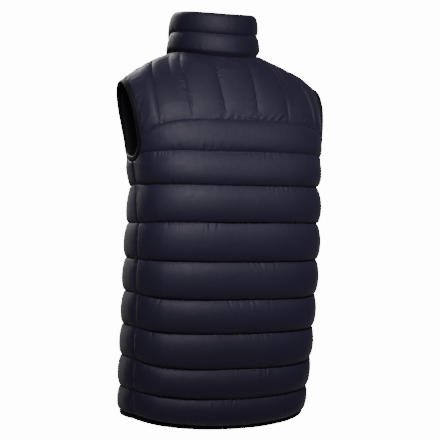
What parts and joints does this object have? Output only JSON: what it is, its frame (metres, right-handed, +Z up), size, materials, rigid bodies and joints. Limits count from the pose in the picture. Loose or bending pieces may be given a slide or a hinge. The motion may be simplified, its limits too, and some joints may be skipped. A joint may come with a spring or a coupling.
{
  "type": "gilet",
  "caption": "Hollow quilted padded gilet in its worn shape, with a stand collar, level body channels, upright yoke channels and a front zip whose pull tab swings.",
  "frame": {"origin": "midway between the shoulders, level with the middle of the shoulder seams, where the wearer's shoulders carry the garment", "axes": "+Z up, -Y the way the wearer faces, +X the wearer's left"},
  "size_m": [0.383, 0.2786, 0.7471],
  "materials": {
    "shell": "satin woven nylon over padding",
    "trim": "dull elastic binding and zip tape",
    "zip_metal": "satin black"
  },
  "bodies": {
    "garment": {"back": "shell", "back_yoke": "shell", "front_left": "shell", "front_right": "shell", "front_yoke_left": "shell", "front_yoke_right": "shell", "collar": "shell", "armhole_binding_left": "trim", "armhole_binding_right": "trim", "hem_binding": "trim", "zip_tape_left": "trim", "zip_tape_right": "trim", "zip_slider": "zip_metal", "zip_box": "zip_metal"},
    "pull": {"zip_pull": "zip_metal"}
  },
  "joints": [
    {"name": "pull_swing", "type": "hinge", "parent": "garment", "child": "pull", "pos_m": [0, -0.09124, 0.02006], "axis": [-1, 0, 0], "range_deg": [0, 165]}
  ]
}
